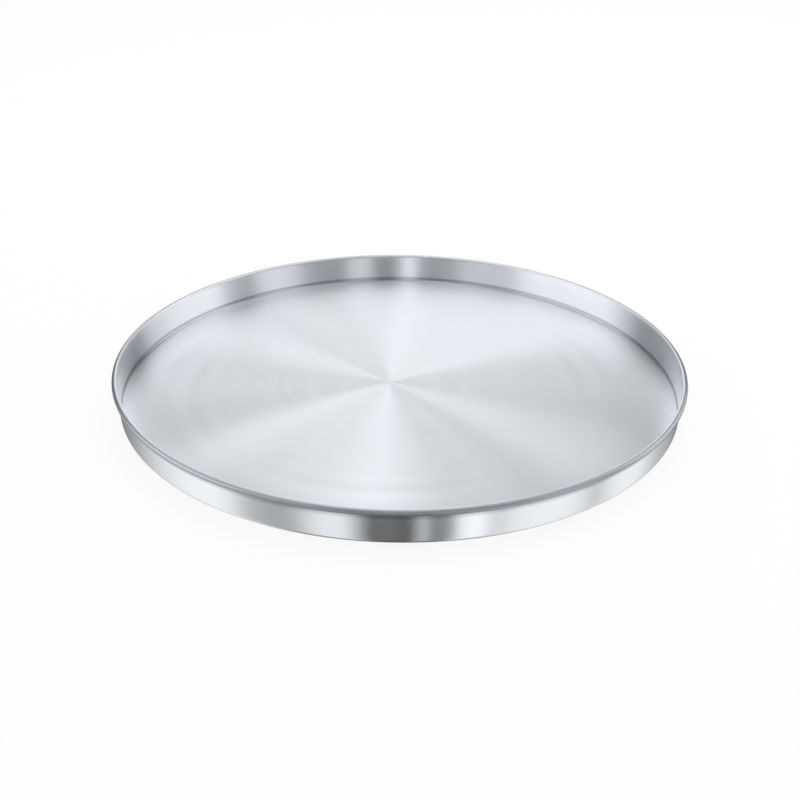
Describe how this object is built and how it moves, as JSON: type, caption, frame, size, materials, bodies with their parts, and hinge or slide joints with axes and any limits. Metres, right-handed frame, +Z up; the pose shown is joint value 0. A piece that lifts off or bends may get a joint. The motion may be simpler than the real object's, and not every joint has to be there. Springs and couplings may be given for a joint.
{
  "type": "pizza pan",
  "caption": "Round, shallow pizza pan spun from aluminium sheet, with a flat floor, a low wall and a rim rolled outwards over a wire.",
  "frame": {"origin": "middle of the flat underside, on the surface that the pan stands on", "axes": "+Z up, along the pan's axis of revolution; the butted ends of the rim wire lie at the back, on +Y"},
  "size_m": [0.35, 0.35, 0.021],
  "materials": {
    "spun_aluminium": "satin, with fine rings from spinning",
    "galvanised_wire": "dull zinc coat"
  },
  "bodies": {
    "root": {"pan_shell": "spun_aluminium", "rim_wire": "galvanised_wire"}
  },
  "joints": []
}
